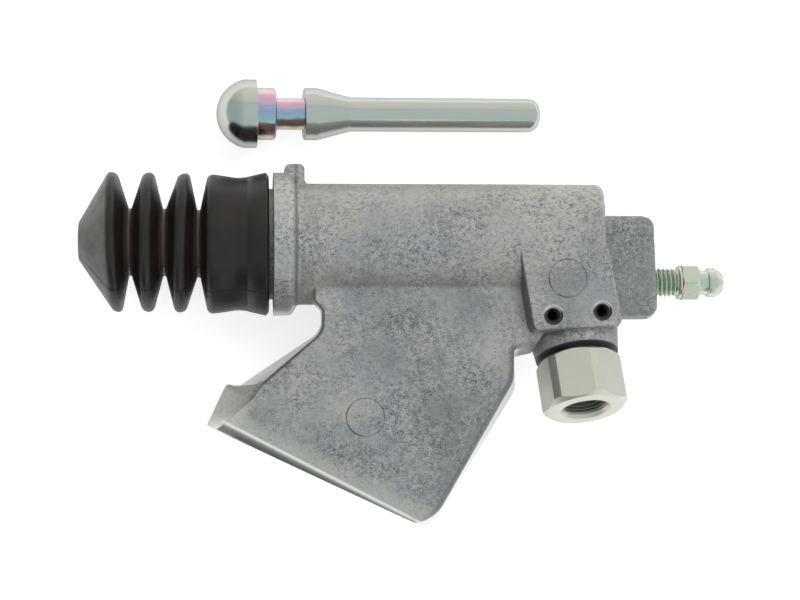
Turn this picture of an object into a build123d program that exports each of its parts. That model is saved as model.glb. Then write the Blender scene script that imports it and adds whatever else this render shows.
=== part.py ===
from build123d import *

import math
import os

# Clutch slave cylinder with a cast body, a rubber boot and its loose push rod.
# Lengths are in millimetres and angles in degrees. The model is drawn with the
# bore along X, the machined mouth face at X = 0 and +Z up, away from the floor
# that the part lies on, and is moved to its own origin when it is written.

# Bore and barrel of the casting
bore_radius = 9.525
bore_length = 82.0
barrel_radius = 16.25
barrel_end = 89.5
barrel_end_rounding = 2.5
casting_draft = 8.0
collar_step = 2.9
collar_radius = barrel_radius + collar_step
collar_length = 4.9
collar_slope = 1.4
collar_rounding = 2.2
collar_crease = 1.0
back_level = -collar_radius

# Locating lug on top of the barrel, just behind the collar
lug_start = 2.9
lug_length = 5.4
lug_reach = 1.85
lug_width = 11.0
lug_rounding = 1.5
lug_blend = 1.4

# Spigot that carries the boot, with a groove for the boot's bead
spigot_step = 1.45
spigot_radius = barrel_radius - spigot_step
spigot_length = 14.0
spigot_chamfer = 0.8
bead_depth = 0.9
bead_start = 6.0
bead_length = 2.4

# Foot of the casting: a flat face at a slant to the bore, with two bolts
foot_corner = (-17.8, -48.1)
foot_slant = -25.4
foot_length = 60.0
foot_thickness = 11.75
bolt_boss_radius = 10.0
flange_corner = 5.0
bolt_hole_radius = 4.25
bolt_seat_radius = 8.5
bolt_seat_depth = 0.8
flange_rounding = 1.6

# Web plate between the barrel and the foot, cored out from behind. It has one
# outline at the casting's parting plane and another at its front face; corners
# near the foot are given by their distance along the foot and inward from it.
web_height = 10.6
web_ear = (0.2, 12.1)
web_ear_front = (8.3, 11.7)
web_dip = (3.4, 12.9)
web_dip_front = (9.1, 17.0)
web_neck_drop = 7.15
web_neck_x = 12.7
web_neck_lean = (0.25, 0.35)
web_shoulder_low = 1.85
web_shoulder_high = 0.65
web_shoulder_width = 2.3
web_shoulder_rounding = 1.1
web_side = (65.0, -39.3)
web_side_front = (63.1, -36.4)
web_notch = (64.85, -30.4)
web_notch_front = (63.3, -28.3)
web_notch_end = (69.5, -29.4)
web_notch_end_front = (69.5, -26.9)
web_heel_front = 3.3
web_toe = 65.8
web_toe_front = 64.3
web_toe_rounding = 10.0
web_neck_rounding = 5.5
web_side_rounding = 6.0
web_ear_rounding = 1.1
web_ear_front_rounding = 8.0
web_dip_rounding = 2.5
web_dip_front_rounding = 6.0
web_edge_rounding = 1.1
web_foot_rounding = 2.4
web_blend = 2.5
foot_fall = 2.0
foot_allowance = 1.2
foot_front_inset = 0.5
web_rim = 5.0
web_pocket_depth = 5.8
rib_thickness = 5.5
rib_depth = 13.0
rib_position = 30.0

# Block and round boss that hold the hose fitting
port_point = (80.2, -19.2)
port_lean = 4.8
port_tilt = 22.1
block_top_x = 75.6
block_lean = 9.9
block_width = 23.7
block_drop = 23.0
block_bottom_lean = 3.0
block_face_drop = 0.15
block_rounding = 1.6
block_edge_rounding = 0.7
boss_radius = 11.1
boss_reach = 12.3
passage_radius = 2.2

# Boss and bleed screw at the closed end of the bore
bleed_drop = 10.2
bleed_boss_end = 103.9
bleed_boss_top = 7.9
bleed_boss_bottom = 20.4
bleed_boss_slope = 0.9
bleed_boss_front = 6.6
bleed_boss_back = 13.4
bleed_boss_corner = 3.6
bleed_boss_rounding = 1.8
bleed_thread_radius = 4.0
bleed_thread_depth = 9.0
bleed_nose_radius = 2.7
bleed_nose_bore_radius = 3.0
bleed_seat_depth = 12.5
bleed_passage_radius = 1.2
bleed_running_gap = 0.04
bleed_neck_end = 6.6
bleed_washer_radius = 4.9
bleed_washer_thickness = 0.8
bleed_hex_flats = 9.5
bleed_hex_turn = 3.8
bleed_hex_length = 4.9
bleed_stem_radius = 3.4
bleed_stem_length = 2.5
nipple_radius = 4.05
nipple_land = 2.2
nipple_tip_radius = 2.3
nipple_taper = 2.2
nipple_hole_radius = 1.0

# Hose fitting: a hexagon with an internal thread and a plain stub
fitting_bar_radius = 11.4
fitting_flats = 20.9
fitting_length = 14.0
fitting_gap = 1.2
fitting_turn = 16.5
fitting_chamfer = 1.3
fitting_thread_radius = 5.46
fitting_thread_depth = 11.0
fitting_mouth_radius = 6.65
stub_radius = 6.5
stub_length = 15.3
stub_fit = 0.05
stub_passage_radius = 1.9
seal_groove_depth = 1.3
seal_groove_length = 2.4
seal_groove_start = 3.0

# Slotted spring pins that lock the stub in the block
pin_radius = 1.75
pin_bore_radius = 1.3
pin_spacing = 13.1
pin_offset = -0.7
pin_length = 23.0
pin_recess = 1.4
pin_slot = 0.7
pin_mouth_radius = 2.5
pin_mouth_depth = 0.8

# Piston, its seals, seat, spring and stop ring
piston_fit = 0.03
piston_length = 34.0
piston_chamfer = 0.5
piston_land_length = 5.5
piston_nose_length = 4.4
piston_head_end = piston_length - piston_nose_length
piston_head_length = 5.6
rear_seal_groove = 3.6
rear_seal_depth = 2.2
waist_start = 12.0
waist_end = piston_head_end - piston_head_length
waist_depth = 1.1
socket_radius = 5.3
socket_floor = 8.5
socket_depth = piston_length - socket_floor
nose_radius = 4.6
seal_bore_gap = 0.03
cup_length = 5.6
cup_base = 2.4
cup_lip = 1.3
seat_thickness = 1.2
seat_radius = 7.5
seat_collar_length = 2.4
seat_wall = 0.8
spring_wire = 1.8
spring_radius = 6.3
spring_turns = 6.0
ring_start = 11.6
ring_thickness = 1.2
ring_outer_radius = 10.3
ring_inner_radius = 8.3
ring_gap = 6.0
ring_groove_fit = 0.1

# Rubber boot
boot_mouth_radius = 4.3
boot_mouth_length = 4.8
boot_tip_x = -51.3
boot_tip_radius = 5.2
boot_crest_step = 0.5
boot_crest_rounding = 1.85
boot_valley_radius = 9.0
boot_first_crest = -42.4
boot_pitch = 9.05
boot_crests = 3
boot_valley_flat = 0.8
boot_wall = 1.7
boot_shoulder_x = -17.4
boot_shoulder_step = 0.4
boot_waist_x = -9.3
boot_waist_step = 1.3
boot_flare_step = 0.05
boot_flare_radius = collar_radius - boot_flare_step
boot_crest_radius = boot_flare_radius - boot_crest_step
boot_seat_gap = 1.2
boot_fit = 0.05

# Push rod, lying on the floor beside the cylinder
rod_shank_radius = 4.7
rod_shank_length = 53.3
rod_tip_rounding = 3.4
rod_taper_length = 9.0
rod_collar_radius = 7.15
rod_collar_length = 3.7
rod_groove_radius = 4.3
rod_groove_length = 7.8
rod_step_length = 5.2
rod_head_radius = 9.35
rod_head_length = 3.5
rod_ball_height = 7.4
rod_x = 74.5
rod_y = 37.2
rod_turn = 0.5


def foot_point(along, inward):
    """Point of the foot, by its distance along the face and inward from it."""
    slant = math.radians(foot_slant)
    x = foot_corner[0] + along * math.cos(slant) - inward * math.sin(slant)
    y = foot_corner[1] + along * math.sin(slant) + inward * math.cos(slant)
    return x, y


def foot_plane(along, height):
    """Plane of the mounting face, with Z pointing into the casting."""
    slant = math.radians(foot_slant)
    x, y = foot_point(along, 0)
    across = (math.cos(slant), math.sin(slant), 0)
    inward = (-math.sin(slant), math.cos(slant), 0)
    return Plane(origin=(x, y, height), x_dir=across, z_dir=inward)


def leaning(start, lean, x):
    """Where a line from the foot, leaning away from its square, reaches X."""
    angle = math.radians(90 + foot_slant - lean)
    return x, start[1] + (x - start[0]) * math.tan(angle)


def outline(*corners):
    """Closed face from corners given as x, y and corner radius."""
    edges = []
    ends = []
    count = len(corners)
    for i, (x, y, radius) in enumerate(corners):
        here = Vector(x, y)
        before = Vector(*corners[i - 1][:2]) - here
        after = Vector(*corners[(i + 1) % count][:2]) - here
        half = math.radians(before.get_angle(after)) / 2
        cut = radius / math.tan(half)
        start = here + before.normalized() * cut
        end = here + after.normalized() * cut
        if radius:
            inward = (before.normalized() + after.normalized()).normalized()
            centre = here + inward * (radius / math.sin(half))
            edges.append(ThreePointArc(start, centre - inward * radius, end))
        ends.append((start, end))
    for i in range(count):
        edges.append(Line(ends[i - 1][1], ends[i][0]))
    return make_face(Wire.combine(edges)[0].edges())


def turned(*corners):
    """Solid turned about the bore axis from its half section."""
    return revolve(outline(*corners), Axis.X, 360)


def bar_along_x(radius, start, end):
    """Round bar on the bore axis."""
    plane = Plane(origin=(start, 0, 0), z_dir=(1, 0, 0))
    return plane * extrude(Circle(radius), end - start)


# The fitting's axis passes through port_point at bore height and leans by
# port_lean in plan, and the fitting's outer end rises by port_tilt.
port_direction = Vector(
    math.sin(math.radians(port_lean)) * math.cos(math.radians(port_tilt)),
    -math.cos(math.radians(port_lean)) * math.cos(math.radians(port_tilt)),
    math.sin(math.radians(port_tilt)),
)
port_across = Vector(
    math.cos(math.radians(port_lean)),
    math.sin(math.radians(port_lean)),
    0,
)
stub_end = boss_reach - stub_length


def port_plane(reach):
    """Plane square to the fitting's axis, at a distance out from port_point."""
    origin = Vector(*port_point, 0) + port_direction * reach
    return Plane(origin=origin, x_dir=port_across, z_dir=port_direction)


# The bleed drilling is as far behind the bore axis as the port drilling is
# where it passes the bleed screw's height, so the two meet.
bleed_meeting = port_plane((bleed_drop + port_point[1]) / -port_direction.Y).origin
bleed_z = bleed_meeting.Z
bleed_screw_tip = bleed_boss_end - bleed_seat_depth


def pin_places():
    """Centres of the two pins, in plan, either side of the fitting's axis."""
    middle = Vector(*port_point, 0)
    return [middle + port_across * (pin_offset + side * pin_spacing / 2) for side in (-1, 1)]


def barrel():
    """Barrel with its collar and the spigot for the boot."""
    body = turned(
        (-spigot_length, 0, 0),
        (barrel_end, 0, 0),
        (barrel_end, barrel_radius, 0),
        (collar_length + collar_slope, barrel_radius, collar_crease),
        (collar_length, collar_radius, collar_rounding),
        (0, collar_radius, 0),
        (0, spigot_radius, 0),
        (-bead_start, spigot_radius, 0),
        (-bead_start, spigot_radius - bead_depth, 0),
        (-bead_start - bead_length, spigot_radius - bead_depth, 0),
        (-bead_start - bead_length, spigot_radius, 0),
        (-spigot_length + spigot_chamfer, spigot_radius, 0),
        (-spigot_length, spigot_radius - spigot_chamfer, 0),
    )
    end = lug_start + lug_length
    lug = extrude(
        outline(
            (lug_start, bore_radius, 0),
            (end + 2 * lug_blend, bore_radius, 0),
            (end + 2 * lug_blend, barrel_radius - lug_blend / 2, 0),
            (end, barrel_radius - lug_blend / 2, lug_blend),
            (end, collar_radius + lug_reach, lug_rounding),
            (lug_start, collar_radius + lug_reach, lug_rounding),
        ),
        lug_width / 2,
        both=True,
    )
    back = barrel_end - barrel_radius * math.tan(math.radians(casting_draft))
    shape = outline(
        (barrel_end, 0, 0),
        (back, barrel_radius, 0),
        (2 * barrel_end, barrel_radius, 0),
        (2 * barrel_end, -barrel_radius, 0),
        (back, -barrel_radius, 0),
    )
    body -= extrude(Plane.XZ * shape, barrel_radius, both=True)
    rim = body.edges().filter_by(GeomType.ELLIPSE)
    return fillet(rim, barrel_end_rounding) + lug


def web_outline(front):
    """Web plate at its front face, or at the casting's parting plane."""
    inside = -bore_radius / 2
    if front:
        heel = foot_point(web_heel_front, foot_front_inset)
        toe = foot_point(web_toe_front, foot_front_inset - foot_fall)
        dip, side = foot_point(*web_dip_front), web_side_front
        ear, notch, notch_end = foot_point(*web_ear_front), web_notch_front, web_notch_end_front
        ear_rounding = web_ear_front_rounding
        dip_rounding = web_dip_front_rounding
        neck = (web_neck_x - web_neck_lean[0], -barrel_radius - web_neck_drop - web_neck_lean[1])
    else:
        heel = foot_point(web_ear[0], -foot_allowance)
        toe = foot_point(web_toe, -foot_allowance - foot_fall)
        dip, side = foot_point(*web_dip), web_side
        ear, notch, notch_end = foot_point(*web_ear), web_notch, web_notch_end
        ear_rounding = web_ear_rounding
        dip_rounding = web_dip_rounding
        neck = (web_neck_x, -barrel_radius - web_neck_drop)
    shoulder = neck[0] - web_shoulder_width
    return outline(
        (*heel, 0),
        (*toe, web_toe_rounding),
        (*side, web_side_rounding),
        (*notch, 0.8),
        (*notch_end, 0),
        (port_point[0] - boss_radius / 2, port_point[1], 0),
        (port_point[0] - boss_radius / 2, inside, 0),
        (shoulder, inside, 0),
        (shoulder, web_shoulder_high - barrel_radius, web_shoulder_rounding),
        (neck[0], -web_shoulder_low - barrel_radius, web_shoulder_rounding),
        (*neck, web_neck_rounding),
        (*dip, dip_rounding),
        (*ear, ear_rounding),
    )


def web():
    """Web plate, its walls leaning in from the parting plane to the front face."""
    low = web_outline(False)
    high = Pos(0, 0, web_height) * web_outline(True)
    return loft([low, high], ruled=True)


def front_rim(body):
    """Edges of the web's front face."""
    faces = body.faces().filter_by(GeomType.PLANE).filter_by(Axis.Z)
    return faces.sort_by(Axis.Z)[-1].edges()


def blended(body):
    """Body with a soft crease where the web meets the barrel, and a soft rim."""
    body = fillet(front_rim(body).sort_by(Axis.Y)[-1], web_blend)
    inward = Axis(foot_plane(0, 0).origin, foot_plane(0, 0).z_dir)
    body = fillet(front_rim(body).sort_by(inward)[0], web_foot_rounding)
    beside_flank = Vector(0, -barrel_radius - web_neck_drop, web_height)
    flank = front_rim(body).filter_by(GeomType.LINE).sort_by_distance(beside_flank)[0]
    wall_above_web = barrel_radius - web_height
    return fillet(flank, min(web_edge_rounding, wall_above_web / 5))


def foot():
    """Flange behind the web for its two bolts, and the rib up to the barrel."""
    plane = foot_plane(foot_length / 2, back_level + bolt_boss_radius)
    flange = extrude(
        RectangleRounded(foot_length, 2 * bolt_boss_radius, flange_corner), foot_thickness
    )
    flange = plane * fillet(flange.faces().sort_by(Axis.Z)[-1].edges(), flange_rounding)
    rib_top = Plane(origin=(0, 0, 0)) * outline(
        (*foot_point(rib_position - rib_thickness / 2, foot_thickness / 2), 0),
        (*foot_point(rib_position + rib_thickness / 2, foot_thickness / 2), 0),
        (*foot_point(rib_position + rib_thickness / 2, foot_length), 0),
        (*foot_point(rib_position - rib_thickness / 2, foot_length), 0),
    )
    rib = extrude(rib_top, -rib_depth)
    above_bore = Pos(0, 0, -rib_depth) * Box(
        2 * barrel_end, barrel_end, 2 * rib_depth, align=(Align.CENTER, Align.MIN, Align.MIN)
    )
    return flange + (rib - above_bore)


def web_pockets():
    """Cores that lighten the web from behind, either side of its rib."""
    core = offset(web_outline(True), -web_rim)
    over_flange = outline(
        (*foot_point(-foot_length, foot_thickness + web_rim / 2), 0),
        (*foot_point(2 * foot_length, foot_thickness + web_rim / 2), 0),
        (*foot_point(2 * foot_length, 2 * foot_length), 0),
        (*foot_point(-foot_length, 2 * foot_length), 0),
    )
    under_barrel = Pos(0, -barrel_radius - web_rim / 2) * Rectangle(
        4 * barrel_end, 2 * barrel_end, align=(Align.CENTER, Align.MAX)
    )
    rib = outline(
        (*foot_point(rib_position - rib_thickness / 2, 0), 0),
        (*foot_point(rib_position + rib_thickness / 2, 0), 0),
        (*foot_point(rib_position + rib_thickness / 2, 2 * foot_length), 0),
        (*foot_point(rib_position - rib_thickness / 2, 2 * foot_length), 0),
    )
    return extrude((core & over_flange & under_barrel) - rib, web_pocket_depth)


def port_block():
    """Block under the barrel's closed end, with the round boss for the fitting."""
    face = barrel_radius - block_face_drop
    spread = face * math.tan(math.radians(casting_draft))
    half = block_width / 2 + spread
    drop = block_drop + spread
    slope = half * math.tan(math.radians(block_bottom_lean))
    bottom = block_top_x + drop * math.tan(math.radians(block_lean))
    shape = outline(
        (block_top_x - half, 0, 0),
        (bottom - half, -drop - slope, block_rounding + spread),
        (bottom + half, -drop + slope, block_rounding + spread),
        (block_top_x + half, 0, 0),
    )
    front = extrude(shape, face, taper=casting_draft)
    rim = front.faces().sort_by(Axis.Z)[-1].edges()
    front = fillet(rim, block_edge_rounding)
    block = front + extrude(shape, back_level, taper=casting_draft)
    boss = port_plane(boss_reach) * extrude(
        Circle(boss_radius), -boss_reach - passage_radius, taper=-casting_draft
    )
    return block + boss


def bleed_boss():
    """Boss at the closed end, drafted both ways from the parting plane."""
    start = barrel_end - bleed_boss_corner * 2
    shape = outline(
        (start, -bleed_boss_bottom, 0),
        (bleed_boss_end, -bleed_boss_bottom, bleed_boss_corner),
        (bleed_boss_end - bleed_boss_slope, bleed_boss_top, bleed_boss_corner),
        (start, bleed_boss_top, 0),
    )
    front = extrude(shape, bleed_boss_front, taper=casting_draft)
    back = extrude(shape, -bleed_boss_back, taper=casting_draft)
    front = fillet(front.faces().sort_by(Axis.Z)[-1].edges(), bleed_boss_rounding)
    back = fillet(back.faces().sort_by(Axis.Z)[0].edges(), bleed_boss_rounding)
    return front + back


def bore_cut():
    """Blind bore, with the groove for the stop ring near its mouth."""
    groove = ring_start + ring_groove_fit / 2
    return turned(
        (-spigot_length - 1, 0, 0),
        (bore_length, 0, 0),
        (bore_length, bore_radius, 0),
        (ring_thickness + ring_groove_fit - groove, bore_radius, 0),
        (ring_thickness + ring_groove_fit - groove, ring_outer_radius + ring_groove_fit, 0),
        (-groove, ring_outer_radius + ring_groove_fit, 0),
        (-groove, bore_radius, 0),
        (-spigot_length - 1, bore_radius, 0),
    )


def port_cut():
    """Counterbore for the fitting's stub and the drilling up to the bore."""
    seat = port_plane(stub_end - stub_fit) * extrude(
        Circle(stub_radius + stub_fit), stub_length + 2
    )
    reach = port_point[1] / port_direction.Y
    drilling = port_plane(stub_end) * extrude(
        Circle(passage_radius), -(reach + stub_end - bore_radius / 2 - passage_radius)
    )
    pins = []
    top = barrel_radius - block_face_drop
    for place in pin_places():
        hole = Pos(place.X, place.Y, top + 1) * Cylinder(
            pin_radius, pin_length + pin_recess + 1, align=(Align.CENTER, Align.CENTER, Align.MAX)
        )
        mouth = Pos(place.X, place.Y, top) * Cylinder(
            pin_mouth_radius, 2 * pin_mouth_depth
        )
        pins += [hole, mouth]
    return [seat, drilling, *pins]


def bleed_cut():
    """Tapped hole, conical seat and drilling for the bleed screw."""
    cone = bleed_nose_bore_radius - bleed_passage_radius
    profile = revolve(
        outline(
            (bleed_meeting.X, 0, 0),
            (bleed_boss_end + 1, 0, 0),
            (bleed_boss_end + 1, bleed_thread_radius, 0),
            (bleed_boss_end - bleed_thread_depth, bleed_thread_radius, 0),
            (bleed_boss_end - bleed_thread_depth, bleed_nose_bore_radius, 0),
            (bleed_screw_tip + cone, bleed_nose_bore_radius, 0),
            (bleed_screw_tip, bleed_passage_radius, 0),
            (bleed_meeting.X, bleed_passage_radius, 0),
        ),
        Axis.X,
        360,
    )
    return Pos(0, -bleed_drop, bleed_z) * profile


def bolt_cuts():
    """Bolt holes through the foot, with a spot face for each bolt's head."""
    cuts = []
    for along in (bolt_boss_radius, foot_length - bolt_boss_radius):
        plane = foot_plane(along, back_level + bolt_boss_radius)
        cuts.append(plane * Cylinder(bolt_hole_radius, 4 * foot_thickness))
        seat = plane.offset(foot_thickness - bolt_seat_depth)
        cuts.append(seat * extrude(Circle(bolt_seat_radius), foot_thickness))
    return cuts


def housing():
    """The casting, with everything that is machined in it."""
    blank = blended(barrel() + web()) + foot() + port_block() + bleed_boss()
    under_foot = foot_plane(foot_length / 2, 0) * Box(
        4 * foot_length, 4 * foot_length, foot_length, align=(Align.CENTER, Align.CENTER, Align.MAX)
    )
    cuts = [under_foot, web_pockets(), bore_cut(), bleed_cut()]
    return blank - (cuts + port_cut() + bolt_cuts())


piston_x = -ring_start + ring_thickness


def piston():
    """Piston with a socket for the rod and grooves for its two seals."""
    radius = bore_radius - piston_fit
    seal_end = piston_land_length + rear_seal_groove
    body = turned(
        (0, socket_radius, 0),
        (0, radius, piston_chamfer),
        (piston_land_length, radius, 0),
        (piston_land_length, radius - rear_seal_depth, 0),
        (seal_end, radius - rear_seal_depth, 0),
        (seal_end, radius, 0),
        (waist_start, radius, 0),
        (waist_start, radius - waist_depth, 0),
        (waist_end, radius - waist_depth, 0),
        (waist_end, radius, 0),
        (piston_head_end, radius, 0),
        (piston_head_end, nose_radius, 0),
        (piston_length, nose_radius, piston_chamfer),
        (piston_length, 0, 0),
        (socket_depth, 0, 0),
        (socket_depth, socket_radius, rod_tip_rounding),
    )
    return Pos(piston_x) * body


def rear_seal():
    """Seal in the groove near the piston's open end."""
    bottom = bore_radius - piston_fit - rear_seal_depth
    end = piston_land_length + rear_seal_groove
    return Pos(piston_x) * turned(
        (piston_land_length, bottom, 0),
        (piston_land_length, bore_radius - seal_bore_gap, 0.5),
        (end, bore_radius - seal_bore_gap, 0.5),
        (end, bottom, 0),
    )


def primary_cup():
    """Pressure cup on the piston's nose, lips toward the fluid."""
    end = piston_head_end + cup_length
    outer = bore_radius - seal_bore_gap
    return Pos(piston_x) * turned(
        (piston_head_end, nose_radius, 0),
        (piston_head_end, outer, 0.5),
        (end, outer, 0),
        (piston_head_end + cup_base, outer - cup_lip - 0.6, 0),
        (piston_head_end + cup_base, nose_radius, 0),
    )


def spring_seat():
    """Pressed seat on the nose that holds the spring against the cup."""
    start = piston_head_end + cup_base
    return Pos(piston_x) * turned(
        (start, nose_radius, 0),
        (start, seat_radius, 0),
        (start + seat_thickness, seat_radius, 0),
        (start + seat_thickness, nose_radius + seat_wall, 0),
        (start + seat_collar_length, nose_radius + seat_wall, 0),
        (start + seat_collar_length, nose_radius, 0),
    )


def piston_spring():
    """Return spring between the seat and the closed end of the bore."""
    start = piston_x + piston_head_end + cup_base + seat_thickness
    free = bore_length - start - spring_wire
    coil = Helix(free / spring_turns, free, spring_radius)
    coil = Plane(origin=(start + spring_wire / 2, 0, 0), z_dir=(1, 0, 0)) * coil
    section = Plane(origin=coil @ 0, z_dir=coil % 0) * Circle(spring_wire / 2 - 0.02)
    return sweep(section, path=coil, is_frenet=True)


def stop_ring():
    """Wire ring that keeps the piston in the bore, open at one side."""
    ring = bar_along_x(ring_outer_radius, -ring_start, piston_x)
    ring -= bar_along_x(ring_inner_radius, -ring_start - 1, piston_x + 1)
    gap = Pos(-ring_start, 0, 0) * Box(
        4 * ring_thickness, ring_gap, collar_radius, align=(Align.CENTER, Align.CENTER, Align.MIN)
    )
    return ring - gap


def bleed_screw():
    """Bleed screw with its hexagon and hose nipple, drilled through."""
    bore_gap = bleed_running_gap
    neck_end = bleed_boss_end + bleed_neck_end
    washer_end = neck_end + bleed_washer_thickness
    hex_end = washer_end + bleed_hex_length
    stem_end = hex_end + bleed_stem_length
    land_end = stem_end + nipple_land
    tip_end = land_end + nipple_taper
    shank = bleed_thread_radius - bore_gap
    tip = bleed_screw_tip + bore_gap
    thread_start = bleed_boss_end - bleed_thread_depth + bore_gap
    body = turned(
        (tip, 0, 0),
        (tip, bleed_passage_radius, 0),
        (tip + bleed_nose_radius - bleed_passage_radius, bleed_nose_radius, 0),
        (thread_start, bleed_nose_radius, 0),
        (thread_start, shank, 0.5),
        (neck_end, shank, 0),
        (neck_end, bleed_washer_radius, 0.2),
        (washer_end, bleed_washer_radius, 0),
        (washer_end, bleed_stem_radius, 0),
        (stem_end, bleed_stem_radius, 0),
        (stem_end, nipple_radius, 0.5),
        (land_end, nipple_radius, 0.5),
        (tip_end, nipple_tip_radius, 0.4),
        (tip_end, 0, 0),
    )
    plane = Plane(origin=(washer_end, 0, 0), z_dir=(1, 0, 0))
    across = bleed_hex_flats / 2
    hexagon = plane * extrude(
        RegularPolygon(across, 6, major_radius=False, rotation=bleed_hex_turn), bleed_hex_length
    )
    rounded = turned(
        (washer_end, 0, 0),
        (washer_end, across / math.cos(math.pi / 6), 0),
        (hex_end - 0.5, across / math.cos(math.pi / 6), 0),
        (hex_end, across, 0),
        (hex_end, 0, 0),
    )
    drilling = bar_along_x(nipple_hole_radius, thread_start - 1, tip_end + 1)
    cross = Pos(thread_start - 1) * Cylinder(nipple_hole_radius, 4 * bleed_nose_radius)
    return Pos(0, -bleed_drop, bleed_z) * (body + (hexagon & rounded) - drilling - cross)


def port_fitting():
    """Hose fitting: hexagon, stub, seal groove, thread bore and passage."""
    start = boss_reach + fitting_gap
    end = start + fitting_length
    flats = port_plane(start) * extrude(
        RegularPolygon(fitting_flats / 2, 6, major_radius=False, rotation=fitting_turn),
        fitting_length,
    )
    bar = port_plane(start) * extrude(Circle(fitting_bar_radius), fitting_length)
    bar = chamfer(bar.edges().filter_by(GeomType.CIRCLE), fitting_chamfer)
    stub = port_plane(stub_end) * extrude(Circle(stub_radius), start - stub_end)
    groove_start = boss_reach - seal_groove_start - seal_groove_length
    groove = port_plane(groove_start) * extrude(
        Circle(stub_radius + 1) - Circle(stub_radius - seal_groove_depth), seal_groove_length
    )
    thread = port_plane(end) * extrude(Circle(fitting_thread_radius), -fitting_thread_depth)
    depth = fitting_mouth_radius - fitting_thread_radius
    mouth = port_plane(end - depth) * Cone(
        fitting_thread_radius,
        fitting_mouth_radius,
        depth,
        align=(Align.CENTER, Align.CENTER, Align.MIN),
    )
    passage = port_plane(stub_end - 1) * extrude(Circle(stub_passage_radius), stub_length)
    notches = [
        Pos(place.X, place.Y, 0) * Cylinder(pin_radius, 2 * pin_length)
        for place in pin_places()
    ]
    return (flats & bar) + stub - [groove, thread, mouth, passage, *notches]


def fitting_seal():
    """Ring seal in the stub's groove."""
    groove_start = boss_reach - seal_groove_start - seal_groove_length
    outer = Circle(stub_radius) - Circle(stub_radius - seal_groove_depth)
    return port_plane(groove_start) * extrude(outer, seal_groove_length)


def roll_pin(place):
    """Slotted spring pin, driven in below the face of the block."""
    top = barrel_radius - block_face_drop - pin_recess
    pin = Cylinder(pin_radius, pin_length) - Cylinder(pin_bore_radius, pin_length + 1)
    pin -= Box(pin_slot, 2 * pin_radius, pin_length + 1, align=(Align.CENTER, Align.MIN, Align.CENTER))
    return Pos(place.X, place.Y, top - pin_length / 2) * pin


def boot_section():
    """Half section of the boot: cone, rounded pleats and the neck."""
    lip_end = -boot_seat_gap
    spigot_fit = spigot_radius + boot_fit
    bead = spigot_fit - bead_depth
    outer = [Vector(boot_tip_x, boot_mouth_radius), Vector(boot_tip_x, boot_tip_radius)]
    lines = [Line(outer[0], outer[1])]
    here = outer[1]
    arc_centre = boot_crest_radius - boot_crest_rounding
    half_flat = boot_valley_flat / 2
    for i in range(boot_crests):
        crest = boot_first_crest + i * boot_pitch
        left = Vector(crest - boot_crest_rounding, arc_centre)
        right = Vector(crest + boot_crest_rounding, arc_centre)
        lines.append(Line(here, left))
        lines.append(ThreePointArc(left, Vector(crest, boot_crest_radius), right))
        valley = crest + boot_pitch / 2
        start = Vector(valley - half_flat, boot_valley_radius)
        here = Vector(valley + half_flat, boot_valley_radius)
        lines += [Line(right, start), Line(start, here)]
    shoulder_radius = boot_flare_radius - boot_shoulder_step
    shoulder = Vector(boot_shoulder_x, shoulder_radius - boot_crest_rounding)
    top = Vector(boot_shoulder_x + boot_crest_rounding, shoulder_radius)
    waist = Vector(boot_waist_x, boot_flare_radius - boot_waist_step)
    flare = Vector(lip_end - 0.8, boot_flare_radius)
    lip = Vector(lip_end, boot_flare_radius - 0.8)
    lines += [
        Line(here, shoulder),
        ThreePointArc(shoulder, (shoulder + top) / 2 + Vector(-0.38, 0.38), top),
        ThreePointArc(top, waist, flare),
        Line(flare, lip),
    ]
    inner = [lip, Vector(lip_end, spigot_fit), Vector(-bead_start - boot_fit, spigot_fit)]
    inner += [Vector(-bead_start - boot_fit, bead)]
    inner += [Vector(-bead_start - bead_length + boot_fit, bead)]
    inner += [Vector(-bead_start - bead_length + boot_fit, spigot_fit)]
    inner += [Vector(-spigot_length - boot_fit, spigot_fit)]
    inner += [Vector(-spigot_length - boot_fit, boot_valley_radius - boot_wall / 2)]
    valley = boot_valley_radius - boot_wall
    hollow = boot_crest_radius - boot_wall * 1.3
    for i in reversed(range(boot_crests)):
        crest = boot_first_crest + i * boot_pitch
        inner.append(Vector(crest + boot_pitch / 2, valley))
        inner += [Vector(crest + half_flat, hollow), Vector(crest - half_flat, hollow)]
    inner += [Vector(boot_tip_x + boot_mouth_length, valley)]
    inner += [Vector(boot_tip_x + boot_mouth_length, boot_mouth_radius), outer[0]]
    lines += [Line(a, b) for a, b in zip(inner, inner[1:])]
    return make_face(Wire(lines).edges())


def dust_boot():
    """Rubber boot, turned from its half section."""
    return revolve(boot_section(), Axis.X, 360)


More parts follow.
